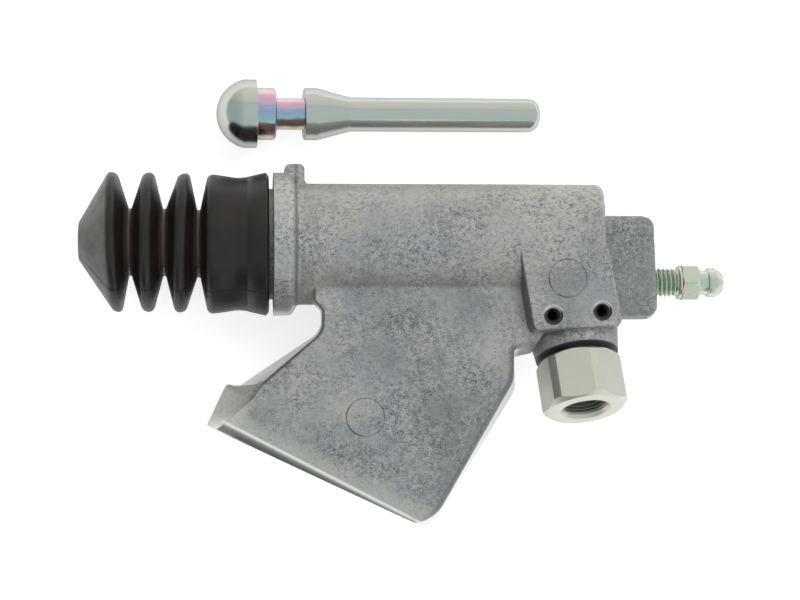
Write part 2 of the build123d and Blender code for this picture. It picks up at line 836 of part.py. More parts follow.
def push_rod():
    """Push rod, its tip rounded, resting on the floor on its head and shank."""
    tip = 0
    shank_end = -rod_shank_length
    collar_start = shank_end - rod_taper_length
    collar_end = collar_start - rod_collar_length
    groove_end = collar_end - rod_groove_length
    step_end = groove_end - rod_step_length
    head_end = step_end - rod_head_length
    ball_end = head_end - rod_ball_height
    side = math.sqrt(0.5)
    radius = (rod_head_radius**2 + rod_ball_height**2) / (2 * rod_ball_height)
    along = radius - rod_ball_height
    middle = math.atan2(rod_head_radius, along) / 2
    ball_mid = Vector(
        ball_end + radius - radius * math.cos(middle), radius * math.sin(middle)
    )
    round_start = Vector(tip, rod_shank_radius - rod_tip_rounding)
    round_end = Vector(tip - rod_tip_rounding, rod_shank_radius)
    round_mid = Vector(
        tip - rod_tip_rounding * (1 - side), rod_shank_radius - rod_tip_rounding * (1 - side)
    )
    corners = [
        Vector(shank_end, rod_shank_radius),
        Vector(collar_start, rod_collar_radius),
        Vector(collar_end, rod_collar_radius),
        Vector(collar_end, rod_groove_radius),
        Vector(groove_end, rod_groove_radius),
        Vector(groove_end, rod_collar_radius),
        Vector(step_end, rod_collar_radius),
        Vector(step_end, rod_head_radius),
        Vector(head_end, rod_head_radius),
    ]
    points = [round_end, *corners]
    lines = [Line(a, b) for a, b in zip(points, points[1:])]
    lines.append(ThreePointArc(corners[-1], ball_mid, Vector(ball_end, 0)))
    lines.append(Line(Vector(ball_end, 0), Vector(tip, 0)))
    lines.append(Line(Vector(tip, 0), round_start))
    lines.append(ThreePointArc(round_start, round_mid, round_end))
    rod = revolve(make_face(Wire(lines).edges()), Axis.X, 360)
    reach = -rod_tip_rounding - (step_end + head_end) / 2
    slope = math.asin((rod_head_radius - rod_shank_radius) / reach)
    low = back_level + rod_shank_radius * math.cos(slope) - rod_tip_rounding * math.sin(slope)
    return Pos(rod_x, rod_y, low) * Rot(0, math.degrees(slope), rod_turn) * rod


def write(parts):
    """Move every piece to the mounting face's origin and write it."""
    os.makedirs("parts", exist_ok=True)
    x, y = foot_point(foot_length / 2, 0)
    home = Pos(-x, -y, -back_level - bolt_boss_radius)
    for name, part in parts.items():
        export_step(home * part, f"parts/{name}.step")


left_pin, right_pin = pin_places()
write(
    {
        "housing": housing(),
        "piston": piston(),
        "rear_seal": rear_seal(),
        "primary_cup": primary_cup(),
        "spring_seat": spring_seat(),
        "piston_spring": piston_spring(),
        "stop_ring": stop_ring(),
        "bleed_screw": bleed_screw(),
        "port_fitting": port_fitting(),
        "fitting_seal": fitting_seal(),
        "roll_pin_left": roll_pin(left_pin),
        "roll_pin_right": roll_pin(right_pin),
        "dust_boot": dust_boot(),
        "push_rod": push_rod(),
    }
)
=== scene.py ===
import math

import bmesh
import bpy
import numpy as np
from mathutils import Matrix

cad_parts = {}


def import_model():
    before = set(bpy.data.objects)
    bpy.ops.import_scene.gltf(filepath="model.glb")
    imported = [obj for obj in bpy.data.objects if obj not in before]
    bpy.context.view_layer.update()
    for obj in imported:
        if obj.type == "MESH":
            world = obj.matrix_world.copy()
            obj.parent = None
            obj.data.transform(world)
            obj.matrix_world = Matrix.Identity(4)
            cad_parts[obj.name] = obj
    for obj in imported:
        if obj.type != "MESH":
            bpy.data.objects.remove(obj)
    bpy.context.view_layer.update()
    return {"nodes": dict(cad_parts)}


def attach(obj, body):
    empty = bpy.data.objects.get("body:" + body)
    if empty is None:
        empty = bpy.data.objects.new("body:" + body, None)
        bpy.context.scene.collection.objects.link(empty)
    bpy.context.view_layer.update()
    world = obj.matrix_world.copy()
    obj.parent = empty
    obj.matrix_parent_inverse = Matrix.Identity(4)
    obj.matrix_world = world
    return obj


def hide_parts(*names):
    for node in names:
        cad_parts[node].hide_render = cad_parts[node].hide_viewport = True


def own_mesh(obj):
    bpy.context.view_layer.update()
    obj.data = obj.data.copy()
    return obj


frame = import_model()

# Sizes are in millimetres, with the bore along X and the machined mouth face at
# X = 0. ORIGIN is the foot's centre there, which is the frame's own origin.
MM = 0.001
X, Y, Z = 0, 1, 2
X_AXIS, Y_AXIS, Z_AXIS = np.eye(3)
FULL_TURN = 2 * math.pi
SIXTH_TURN = math.pi / 3

# Foot of the casting, at a slant to the bore, from its left end to its middle
FOOT_SLANT = math.radians(-25.4)
FOOT_ACROSS = np.array([math.cos(FOOT_SLANT), math.sin(FOOT_SLANT), 0.0])
FOOT_INWARD = np.array([-math.sin(FOOT_SLANT), math.cos(FOOT_SLANT), 0.0])
FOOT_LEFT_END = np.array([-17.8, -48.1, -9.15])
FOOT_HALF_LENGTH = 30.0
ORIGIN = FOOT_LEFT_END + FOOT_ACROSS * FOOT_HALF_LENGTH
FLOOR_LEVEL = -19.15

# The front rim of the foot: how far inward it lies at the foot's middle, and how
# much nearer to the machined face it comes for each millimetre to the right
RIM_INWARD = 1.92
RIM_SLOPE = -0.0379

# Collar of the barrel: where its step down to the barrel is
COLLAR_STEP = 5.9

# Dust boot: its tip, its three crests, and each pleat's lean and shift to the right
BOOT_TIP = -51.3
BOOT_MOUTH_RADIUS = 4.3
BOOT_TIP_RADIUS = 5.2
BOOT_FIRST_CREST = -42.4
BOOT_PITCH = 9.05
BOOT_CREST_RADIUS = 18.6
BOOT_VALLEY_RADIUS = 9.0
BOOT_PLEATS = ((0.05, 0.45), (-0.01, 0.45), (-0.05, 0.3))
BOOT_CRESTS = [BOOT_FIRST_CREST + i * BOOT_PITCH for i in range(len(BOOT_PLEATS))]

# How far the boot is off the bore's axis at its tip, at its crests and on its neck
BOOT_OFFSETS = (0.8, 0.55, 0.5, 0.35, 0)
BOOT_NECK = -18.0

# Where the boot's mould parts, as an angle round the bore from Y toward Z
BOOT_PARTING = math.radians(136)

# Bleed screw: its axis, the face that it is screwed into, and its thread from there
BLEED_Y = -10.2
BLEED_Z = -3.667
BLEED_START = 103.9
BLEED_THREAD_END = 6.1
BLEED_THREAD_ROOT = 3.25
BLEED_THREAD_DEPTH = 0.7

# Hose fitting: its axis, the ends of its hexagon and its thread along that axis
PORT_LEAN = math.radians(4.8)
PORT_TILT = math.radians(22.1)
PORT_POINT = (80.2, -19.2, 0.0)
PORT_ALONG = np.array(
    [
        math.sin(PORT_LEAN) * math.cos(PORT_TILT),
        -math.cos(PORT_LEAN) * math.cos(PORT_TILT),
        math.sin(PORT_TILT),
    ]
)
PORT_SIDE = np.array([math.cos(PORT_LEAN), math.sin(PORT_LEAN), 0.0])
PORT_FRONT = np.cross(PORT_ALONG, PORT_SIDE)
PORT_START = 13.5
PORT_END = 27.5
PORT_THREAD_RADIUS = 5.95

# Sides of the fitting's hexagon with painted shade: degrees from PORT_SIDE, and how much
PORT_SHADED_SIDES = ((136.5, 0.75), (46.5, 0.32))

# Two roll pins beside the fitting's axis, and the front face that they are driven into
PIN_SPACING = 13.1
PIN_SHIFT = -0.7
PIN_SPOTS = [
    np.array(PORT_POINT) + PORT_SIDE * (PIN_SHIFT + side * PIN_SPACING / 2) for side in (-1, 1)
]
BLOCK_FACE = 16.1

# Push rod: stations of its shoulders back from the shank's tip, and its radii
ROD_SHANK_END = -53.3
ROD_TAPER_END = -62.3
ROD_COLLAR_END = -66.0
ROD_GROOVE_END = -73.8
ROD_STEP_END = -79.0
ROD_HEAD_END = -82.5
ROD_SHANK_RADIUS = 4.7
ROD_COLLAR_RADIUS = 7.15
ROD_GROOVE_RADIUS = 4.3
ROD_HEAD_RADIUS = 9.35
ROD_BALL_HEIGHT = 7.4

# Where the rod lies: its tip in plan, its turn, and how far behind the tip it rests
ROD_TIP_X = 74.5
ROD_TIP_Y = 37.2
ROD_TURN = math.radians(0.5)
ROD_TIP_REST = 3.4

# Return spring: its ends in the bore, and how far the piston presses it
SPRING_START = 22.8
SPRING_END = 82.0

# Middles of the round marks that the mould's ejector pins left, and their radius
EJECTOR_MARKS = ((23.9, -46.2, 10.6), (76.9, -10.0, BLOCK_FACE))
EJECTOR_RADIUS = 5.0

# Camera: what it aims at, its distance, how far left and below it stands, and its lens
CAMERA_AIM = np.array([34.0, -15.0, 0.0])
CAMERA_DISTANCE = 500.0
CAMERA_LEFT = math.radians(4.8)
CAMERA_BELOW = math.radians(2.5)
CAMERA_ROLL = math.radians(0.3)
FOCAL_PIXELS = 1860
WIDTH_PIXELS = 800
SENSOR_WIDTH = 36

# Linear colours of the casting
CAST = {
    "cool cloud": (0.310, 0.324, 0.346, 1),
    "warm cloud": (0.424, 0.416, 0.390, 1),
    "dim patch": (0.205, 0.212, 0.218, 1),
    # Painted light toward the barrel's top
    "barrel top light": (0.56, 0.545, 0.49, 1),
    # Painted light on the collar's upper part
    "collar": (0.56, 0.56, 0.53, 1),
    "bleed boss": (0.16, 0.165, 0.172, 1),
    "low corner": (0.17, 0.175, 0.18, 1),
    "smooth band": (0.49, 0.485, 0.45, 1),
    "ear": (0.66, 0.65, 0.60, 1),
    "dark speck": (0.095, 0.100, 0.116, 1),
    "light speck": (0.60, 0.59, 0.55, 1),
    "pit": (0.05, 0.05, 0.05, 1),
    # Painted highlight and painted shade along the foot's front rim
    "rim highlight": (0.90, 0.88, 0.84, 1),
    "rim shade": (0.19, 0.195, 0.19, 1),
    # Painted shadow along the collar's step
    "collar step shadow": (0.13, 0.13, 0.13, 1),
    # Painted light on the web's upright sides
    "lit_wall": (0.86, 0.86, 0.82, 1),
    # Painted shade on the rounded front edges facing left
    "left rim shade": (0.085, 0.08, 0.075, 1),
    # Painted shade on the rounded front edges facing right
    "right rim shade": (0.10, 0.10, 0.105, 1),
    # Painted shadow on the boss's end face under the fitting
    "fitting seat shadow": (0.045, 0.040, 0.035, 1),
    # Painted shade on the block's left cheek
    "block cheek shade": (0.10, 0.10, 0.105, 1),
    "ejector line": (0.07, 0.068, 0.06, 1),
    # Painted shadow in the roll pins' holes, and a painted highlight on their upper edges
    "pin hole shadow": (0.035, 0.028, 0.02, 1),
    "pin edge highlight": (0.80, 0.79, 0.74, 1),
}

# Linear colours of the rubber boot
BOOT = {
    "dark": (0.0115, 0.0078, 0.0068, 1),
    "bloom": (0.0190, 0.0140, 0.0125, 1),
    # Painted light in the pleats' valleys
    "valley": (0.110, 0.085, 0.075, 1),
    # Lighter, cloudy grey on the cone
    "cone": (0.150, 0.138, 0.120, 1),
    "parting": (0.002, 0.0015, 0.001, 1),
}

# Linear colours of the hose fitting's plate and the bleed screw's plated thread
PORT_COOL = (0.640, 0.632, 0.565, 1)
PORT_WARM = (0.710, 0.700, 0.632, 1)
# Painted shade inside the fitting's bore and thread
PORT_BORE_SHADE = (0.06, 0.06, 0.05, 1)
# Painted shade on two sides of the fitting's hexagon
PORT_SIDE_SHADE = (0.22, 0.23, 0.21, 1)
THREAD_ROOT_COLOR = (0.26, 0.43, 0.42, 1)
THREAD_CREST_COLOR = (0.84, 0.83, 0.62, 1)

# Bands of colour in zinc plate
SCREW_TINT = (
    (0.66, 0.70, 0.60, 1),
    (0.62, 0.70, 0.62, 1),
    (0.72, 0.70, 0.58, 1),
    (0.66, 0.70, 0.61, 1),
)
ROD_TINT = ((0.56, 0.60, 0.58, 1), (0.59, 0.61, 0.57, 1), (0.62, 0.62, 0.55, 1))

# Rainbow colours in the rod's groove, from its side toward -Y (0) to that toward +Y (1)
ROD_RAINBOW = (
    (0.02, (0.72, 0.66, 0.50, 1)),
    (0.10, (0.34, 0.22, 0.22, 1)),
    (0.28, (0.36, 0.24, 0.26, 1)),
    (0.31, (0.30, 0.56, 0.62, 1)),
    (0.39, (0.28, 0.54, 0.66, 1)),
    (0.46, (0.46, 0.36, 0.68, 1)),
    (0.50, (0.42, 0.40, 0.72, 1)),
    (0.55, (0.30, 0.56, 0.72, 1)),
    (0.62, (0.60, 0.44, 0.70, 1)),
    (0.72, (0.78, 0.38, 0.58, 1)),
    (0.86, (0.76, 0.54, 0.62, 1)),
    (0.97, (0.80, 0.76, 0.62, 1)),
)

# What the metals reflect of the studio, from -Y (0) to +Y (1), and its lit corner
STUDIO_BANDS = (
    (0.0, (0.05, 0.05, 0.04, 1)),
    (0.10, (0.06, 0.06, 0.05, 1)),
    (0.14, (0.62, 0.72, 0.72, 1)),
    (0.72, (0.66, 0.76, 0.75, 1)),
    (0.735, (0.35, 0.40, 0.38, 1)),
    (0.75, (0.78, 0.80, 0.72, 1)),
    (1.0, (0.90, 0.90, 0.84, 1)),
)
STUDIO_CORNER = (1.15, 1.20, 1.08, 1)
WHITE = (1, 1, 1, 1)


def home(points):
    """Points in millimetres to the frame's metres."""
    return (np.asarray(points, float) - ORIGIN) * MM


def unit(vector):
    return vector / np.linalg.norm(vector)


# Shapes


class Axis:
    """An origin, a direction and two directions across it, for turned shapes."""

    def __init__(self, origin, along, side):
        self.origin = np.asarray(origin, float)
        self.along = unit(np.asarray(along, float))
        self.side = unit(side - self.along * (side @ self.along))
        self.front = np.cross(self.along, self.side)

    def ring(self, station, radius, angles):
        """Points round the axis; station and radius may differ with the angle."""
        station = np.broadcast_to(np.asarray(station, float), angles.shape)[:, None]
        radius = np.broadcast_to(np.asarray(radius, float), angles.shape)[:, None]
        out = self.side * np.cos(angles)[:, None] + self.front * np.sin(angles)[:, None]
        return self.origin + self.along * station + out * radius


def even_angles(count=200):
    return np.arange(count) * FULL_TURN / count


def softened(corners, steps=4):
    """Station and radius along a profile, each corner rounded by its third value."""
    points = []
    for i, (x, r, rounding) in enumerate(corners):
        here = np.array([x, r])
        if not rounding or i in (0, len(corners) - 1):
            points.append(here)
            continue
        before = unit(np.array(corners[i - 1][:2]) - here)
        after = unit(np.array(corners[i + 1][:2]) - here)
        half = math.acos(max(-1, min(1, before @ after))) / 2
        cut = rounding / math.tan(half)
        centre = here + unit(before + after) * rounding / math.sin(half)
        first = here + before * cut - centre
        last = here + after * cut - centre
        sweep = math.pi - 2 * half
        turn = math.copysign(1, first[0] * last[1] - first[1] * last[0])
        for k in range(steps + 1):
            a = turn * sweep * k / steps
            spin = np.array([[math.cos(a), -math.sin(a)], [math.sin(a), math.cos(a)]])
            points.append(centre + spin @ first)
    return np.array(points)


def link(name, data):
    """New object in the scene."""
    made = bpy.data.objects.new(name, data)
    bpy.context.scene.collection.objects.link(made)
    return made


def mesh_object(name, vertices, faces, sharp=40):
    """Object from points in millimetres, welded, with outward faces."""
    mesh = bpy.data.meshes.new(name)
    mesh.from_pydata(home(vertices).tolist(), [], faces)
    work = bmesh.new()
    work.from_mesh(mesh)
    bmesh.ops.remove_doubles(work, verts=work.verts, dist=2e-7)
    bmesh.ops.dissolve_degenerate(work, edges=work.edges, dist=1e-7)
    bmesh.ops.recalc_face_normals(work, faces=work.faces)
    work.to_mesh(mesh)
    work.free()
    mesh.shade_smooth()
    mesh.set_sharp_from_angle(angle=math.radians(sharp))
    return link(name, mesh)


def skin(name, rings, closed=False, sharp=40):
    """Surface through rings of points; closed joins the last ring to the first."""
    count = len(rings[0])
    pairs = [(i, i + 1) for i in range(len(rings) - 1)]
    if closed:
        pairs.append((len(rings) - 1, 0))
    faces = []
    for low, high in pairs:
        for k in range(count):
            m = (k + 1) % count
            faces.append((low * count + k, low * count + m, high * count + m, high * count + k))
    return mesh_object(name, np.concatenate(rings), faces, sharp)


def rings_along(axis, profile, angles):
    """Rings of points from station and radius pairs."""
    return [axis.ring(x, r, angles) for x, r in profile]


def turned(name, axis, profile, angles=None, sharp=40):
    """Turned piece from station and radius pairs."""
    angles = even_angles() if angles is None else angles
    return skin(name, rings_along(axis, profile, angles), sharp=sharp)


def hexagon(flats, corner, turn):
    """Angles and radii round a hexagon whose corners are turned off to a radius.

    One angle lies at each edge of each flat, so that the edges are crisp.
    """
    half = math.acos(flats / 2 / corner)
    flat = np.linspace(-half, half, 15)
    turned_off = np.linspace(half, SIXTH_TURN - half, 7)[1:-1]
    side = np.concatenate([flat, turned_off])
    angles = np.concatenate([turn + k * SIXTH_TURN + side for k in range(6)])
    offset = (angles - turn + SIXTH_TURN / 2) % SIXTH_TURN - SIXTH_TURN / 2
    return angles, np.minimum(flats / 2 / np.cos(offset), corner)


def chamfered_end(radius, station, end_radius, slope):
    """Where a cone, turned on the end of a bar, starts; slope is length by radius."""
    return station - np.maximum(radius - end_radius, 0) * slope


def threaded_radius(angles, station, root, crest, pitch, start=0.0):
    """Radius of a right-hand thread with a rounded root and a narrow crest."""
    turn = (station / pitch - angles / FULL_TURN + start) % 1
    tooth = 1 - np.abs(2 * turn - 1)
    return root + (crest - root) * np.clip(tooth * 1.25 - 0.12, 0, 1)


def join(name, pieces):
    """One object from several."""
    for piece in bpy.context.selected_objects:
        piece.select_set(False)
    for piece in pieces:
        piece.select_set(True)
    bpy.context.view_layer.objects.active = pieces[0]
    bpy.ops.object.join()
    pieces[0].name = name
    return pieces[0]


# Nodes of the materials and the world


class Nodes:
    """Nodes of a tree, linked as they are made."""

    # A Mix node's colour sockets, among those for its other kinds of value
    MIX_FIRST, MIX_SECOND, MIX_RESULT = 6, 7, 2

    def __init__(self, tree):
        self.tree = tree

    def put(self, socket, value):
        if isinstance(value, bpy.types.NodeSocket):
            self.tree.links.new(value, socket)
        elif isinstance(value, np.ndarray):
            socket.default_value = value.tolist()
        elif value is not None:
            socket.default_value = value

    def node(self, kind, *values, **settings):
        """Node with its inputs set or linked in order, and its own settings."""
        made = self.tree.nodes.new("ShaderNode" + kind)
        for key, value in settings.items():
            setattr(made, key, value)
        for socket, value in zip(made.inputs, values):
            self.put(socket, value)
        return made

    def number(self, kind, *values):
        """Number worked out from numbers."""
        return self.node("Math", *values, operation=kind).outputs["Value"]

    def product(self, *factors):
        result = factors[0]
        for factor in factors[1:]:
            result = self.number("MULTIPLY", result, factor)
        return result

    def vector(self, kind, *values):
        """Vector worked out from vectors."""
        return self.node("VectorMath", *values, operation=kind).outputs["Vector"]

    def measure(self, kind, *values):
        """Number worked out from vectors."""
        return self.node("VectorMath", *values, operation=kind).outputs["Value"]

    def parts(self, vector):
        """The X, Y and Z of a vector."""
        return self.node("SeparateXYZ", vector).outputs

    def spread(self, value, low, high, to_low=0.0, to_high=1.0, smooth=True):
        """Value from low..high to to_low..to_high, clamped."""
        kind = "SMOOTHSTEP" if smooth else "LINEAR"
        made = self.node("MapRange", value, low, high, to_low, to_high, interpolation_type=kind)
        return made.outputs["Result"]

    def blend(self, amount, first, second, kind="MIX"):
        """Colour between two colours."""
        made = self.node("Mix", data_type="RGBA", blend_type=kind)
        self.put(made.inputs["Factor"], amount)
        self.put(made.inputs[self.MIX_FIRST], first)
        self.put(made.inputs[self.MIX_SECOND], second)
        return made.outputs[self.MIX_RESULT]

    def ramp(self, value, stops):
        """Colour by a value, from pairs of position and colour."""
        made = self.node("ValToRGB", value)
        elements = made.color_ramp.elements
        elements[0].position, elements[0].color = stops[0]
        elements[1].position, elements[1].color = stops[-1]
        for position, color in stops[1:-1]:
            elements.new(position).color = color
        return made.outputs["Color"]

    def rays(self):
        """1 for a camera ray, and 1 for a glossy or transmission ray."""
        path = self.node("LightPath").outputs
        shiny = self.number("MAXIMUM", path["Is Glossy Ray"], path["Is Transmission Ray"])
        return path["Is Camera Ray"], shiny


class Shader(Nodes):
    """A node material built round one Principled shader.

    color holds its base colour so far, xyz the parts of a point in the frame, in
    metres, and tilt those of the surface's normal.
    """

    def __init__(self, name, **settings):
        self.material = bpy.data.materials.new(name)
        self.material.use_nodes = True
        super().__init__(self.material.node_tree)
        self.surface = self.tree.nodes["Principled BSDF"]
        coordinates = self.node("TexCoord").outputs
        self.place = coordinates["Object"]
        self.normal = coordinates["Normal"]
        self.xyz = self.parts(self.place)
        self.tilt = self.parts(self.normal)
        self.color = None
        for key, value in settings.items():
            self.surface.inputs[key.replace("_", " ")].default_value = value

    def noise(self, size, detail=3, rough=0.5, stretch=(1, 1, 1), shift=0):
        """Noise from 0 to 1, with features about size millimetres across."""
        scaled = self.vector("MULTIPLY", self.place, tuple(s / (size * MM) for s in stretch))
        moved = self.vector("ADD", scaled, (shift, shift, shift))
        made = self.node("TexNoise")
        self.put(made.inputs["Vector"], moved)
        made.inputs["Scale"].default_value = 1
        made.inputs["Detail"].default_value = detail
        made.inputs["Roughness"].default_value = rough
        return made.outputs["Fac"]

    def step(self, axis, first, last, to_low=0.0, to_high=1.0):
        """Smooth step between two places in millimetres along X, Y or Z."""
        start, end = (home([place] * 3)[axis] for place in (first, last))
        return self.spread(self.xyz[axis], start, end, to_low, to_high)

    def fade(self, length, first, last, to_low=0.0, to_high=1.0):
        """Smooth step of a length in metres between two lengths in millimetres."""
        return self.spread(length, first * MM, last * MM, to_low, to_high)

    def station(self, point, direction):
        """How far along a direction from a point in millimetres, in metres."""
        offset = self.vector("SUBTRACT", self.place, home(point))
        return self.measure("DOT_PRODUCT", offset, direction)

    def radius(self, point, direction):
        """Distance in metres from an axis through a point in millimetres."""
        offset = self.vector("SUBTRACT", self.place, home(point))
        return self.measure("LENGTH", self.vector("CROSS_PRODUCT", offset, direction))

    def paint(self, color, *amounts):
        """Cover the base colour with another by the product of the amounts."""
        self.color = self.blend(self.product(*amounts), self.color, color)

    def bevelled(self, radius):
        """Normal with the edges rounded, radius in millimetres."""
        return self.node("Bevel", radius * MM, samples=6).outputs["Normal"]

    def bump(self, height, depth, normal=None):
        """Normal from a height of 0 to 1 that stands for depth millimetres."""
        made = self.node("Bump")
        made.inputs["Strength"].default_value = 1
        made.inputs["Distance"].default_value = depth * MM
        self.put(made.inputs["Height"], height)
        self.put(made.inputs["Normal"], normal)
        return made.outputs["Normal"]

    def finish(self, roughness, normal, metallic=None):
        self.put(self.surface.inputs["Base Color"], self.color)
        self.put(self.surface.inputs["Roughness"], roughness)
        self.put(self.surface.inputs["Normal"], normal)
        self.put(self.surface.inputs["Metallic"], metallic)
        return self.material


# Casting


def cast_clouds(shader):
    """Cloudy grey, with painted light on the barrel's top and on the collar's upper part, darker at the
    boss and the low corner.
    """
    cloud = shader.spread(shader.noise(15, 4, 0.6), 0.34, 0.66)
    shader.color = shader.blend(cloud, CAST["cool cloud"], CAST["warm cloud"])
    shader.paint(CAST["dim patch"], shader.spread(shader.noise(24, 4, 0.55, shift=21), 0.42, 0.66), 0.62)
    # Painted light: lighter toward the barrel's top
    shader.paint(CAST["barrel top light"], shader.step(Y, 2, 15), 0.45)
    # Painted light on the collar's upper part
    shader.paint(CAST["collar"], shader.step(X, 9, 4), shader.step(Y, -14, -8), 0.5)
    shader.paint(CAST["bleed boss"], shader.step(X, 88, 90), shader.step(Z, 15.9, 15.3), 0.5)
    shader.paint(CAST["low corner"], shader.step(X, 30, 52), shader.step(Y, -30, -46), 0.5)


def cast_grain(shader, smooth):
    """Fine dark and light mottling and pits; gives the grain and its dark part."""
    dense = shader.spread(shader.noise(11, 3, 0.5, shift=11), 0.3, 0.7, 0.3, 1)
    dense = shader.product(dense, shader.spread(smooth, 0, 1, 1, 0.35))
    grain = shader.number("ADD", shader.noise(0.42, 4, 0.8, shift=3), shader.noise(1.2, 4, 0.8, shift=13))
    grain = shader.product(grain, 0.5)
    dark = shader.product(shader.spread(grain, 0.50, 0.575), dense, 0.8)
    shader.paint(CAST["dark speck"], dark)
    shader.paint(CAST["light speck"], shader.spread(grain, 0.495, 0.425), dense, 0.5)
    shader.paint(CAST["pit"], shader.spread(shader.noise(0.5, 1, 0.5, shift=31), 0.70, 0.74, 0, 0.75))
    return grain, dark


def cast_edges(shader, front, ear):
    """Painted light on the web's upright sides and painted shade on its rounded front edges; gives the lit
    sides.

    They lie below the barrel, to the left of the port's block.
    """
    left = shader.step(X, 66.0, 64.0)
    steep = shader.spread(shader.number("ABSOLUTE", shader.tilt[Z]), 0.2, 0.45, 1, 0)
    lit_wall = shader.product(steep, shader.step(Y, -16.2, -17.2), shader.step(Z, 10.7, 10.0), left)
    # Painted light: the web's upright sides are painted near white; they are also less rough and more
    # metallic
    shader.paint(CAST["lit_wall"], lit_wall, 0.95)
    rounded = shader.spread(shader.tilt[Z], 0.40, 0.60)
    to_left = shader.spread(shader.tilt[X], -0.10, -0.35)
    to_right = shader.spread(shader.tilt[X], 0.10, 0.35)
    clear = shader.spread(ear, 0, 1, 0.7, 0)
    # Painted shade on the rounded front edges that face left
    shader.paint(CAST["left rim shade"], to_left, rounded, shader.step(Y, -6, -14), front, clear, left)
    # Painted shade on the rounded front edges that face right
    shader.paint(CAST["right rim shade"], to_right, rounded, shader.step(Y, -18, -22), front, left, 0.42)
    return lit_wall


def cast_block(shader):
    """Painted shadow on the boss's end face under the fitting, and painted shade on the left cheek of its
    block.
    """
    # Painted shadow on the boss's end face under the fitting's hexagon
    seat = shader.fade(shader.station(PORT_POINT, PORT_ALONG), 11.95, 12.15, 0, 0.9)
    shader.paint(CAST["fitting seat shadow"], seat, shader.fade(shader.radius(PORT_POINT, PORT_ALONG), 12.8, 12.4))
    # Painted shade on the block's left cheek, which faces the barrel
    to_left = shader.spread(shader.tilt[X], -0.25, -0.5)
    beside = shader.product(shader.step(X, 62, 64), shader.step(X, 78, 76))
    height = shader.product(shader.step(Y, 4, 0), shader.step(Y, -26, -24))
    shader.paint(CAST["block cheek shade"], to_left, beside, height, 0.85)


def cast_marks(shader):
    """Broken line round each ejector mark, fainter toward its right, on front faces."""
    face = shader.step(Z, 9.35, 9.85)
    for x, y, _ in EJECTOR_MARKS:
        off = shader.number("SUBTRACT", shader.radius((x, y, 0), Z_AXIS), EJECTOR_RADIUS * MM)
        line = shader.fade(shader.number("ABSOLUTE", off), 0.05, 0.34, 1, 0)
        broken = shader.spread(shader.noise(3.0, 2, shift=x), 0.42, 0.58, 0.30, 0.85)
        shader.paint(CAST["ejector line"], line, broken, face, shader.step(X, x - 4, x + 3, 1, 0.55))


def cast_pin_mouths(shader):
    """Painted shadow in the holes for the roll pins, each with a painted highlight as a crescent above it.
    """
    deep = shader.step(Z, BLOCK_FACE - 0.05, BLOCK_FACE - 0.5)
    for x, y, _ in PIN_SPOTS:
        away = shader.radius((x, y, 0), Z_AXIS)
        # Painted shadow inside the hole
        shader.paint(CAST["pin hole shadow"], shader.fade(away, 2.7, 2.5), deep, 0.9)
        # Painted highlight as a crescent on the hole's upper edge
        crescent = shader.product(shader.fade(away, 2.0, 2.2), shader.fade(away, 3.0, 2.5))
        shader.paint(CAST["pin edge highlight"], crescent, shader.step(Y, y + 0.4, y + 1.8), 0.8)


def cast_metal():
    """Raw die-cast aluminium: cloudy, finely mottled, with painted light on the web's upright sides.

    Smooth, bright metal runs along the foot's front rim and on the ear at its left; the rim itself has a
    painted highlight with painted shade below it.
    """
    shader = Shader("cast_metal")
    inward = shader.station(ORIGIN, FOOT_INWARD)
    across = shader.station(ORIGIN, FOOT_ACROSS)
    rim = shader.number("MULTIPLY_ADD", across, RIM_SLOPE, RIM_INWARD * MM)
    above_rim = shader.number("SUBTRACT", inward, rim)
    front = shader.step(Z, 7.0, 8.4)
    ear = shader.product(shader.fade(across, -20.0, -24.5), shader.fade(inward, 30, 20))
    smooth = shader.number("MAXIMUM", shader.product(shader.fade(above_rim, 6.5, 1.0), front), ear)

    cast_clouds(shader)
    shader.paint(CAST["smooth band"], smooth, 0.8)
    shader.paint(CAST["ear"], ear, 0.5)
    grain, dark = cast_grain(shader, smooth)
    # Painted highlight along the foot's front rim, which is also made less rough; painted shade just below
    # it
    rim_highlight = shader.product(shader.fade(shader.number("ABSOLUTE", above_rim), 0.6, 0.1), front, 0.9)
    shader.paint(CAST["rim highlight"], rim_highlight)
    shader.paint(CAST["rim shade"], shader.fade(above_rim, -0.5, -0.9), front, 0.75)
    # Painted shadow along the step from the collar down to the barrel
    from_step = shader.number("ABSOLUTE", shader.station((COLLAR_STEP, 0, 0), X_AXIS))
    shader.paint(CAST["collar step shadow"], shader.fade(from_step, 0.8, 0.1), shader.step(Y, -19, -17), 0.55)
    lit_wall = cast_edges(shader, front, ear)
    cast_block(shader)
    cast_marks(shader)
    cast_pin_mouths(shader)

    rough = shader.spread(grain, 0.3, 0.7, 0.40, 0.52, smooth=False)
    rough = shader.number("SUBTRACT", rough, shader.product(shader.number("MAXIMUM", lit_wall, rim_highlight), 0.15))
    relief = shader.number("ADD", shader.noise(0.45, 3, 0.6), shader.product(dark, -0.7))
    normal = shader.bump(relief, 0.035, shader.bevelled(0.35))
    return shader.finish(rough, normal, shader.spread(lit_wall, 0, 1, 0.45, 0.9))


def ejector_ring(name, x, y, z):
    """Faint raised edge left on the casting by an ejector pin."""
    axis = Axis((x, y, z), Z_AXIS, X_AXIS)
    angles = even_angles(120)
    swell = 0.6 + 0.4 * np.sin(angles * 3 + x) * np.sin(angles * 5 + y)
    section = [(-0.05, -0.16), (0.045 * swell, -0.04), (0.05 * swell, 0.03), (-0.05, 0.16)]
    rings = [axis.ring(height, EJECTOR_RADIUS + out, angles) for height, out in section]
    return skin(name, rings, closed=True, sharp=60)


# Rubber boot


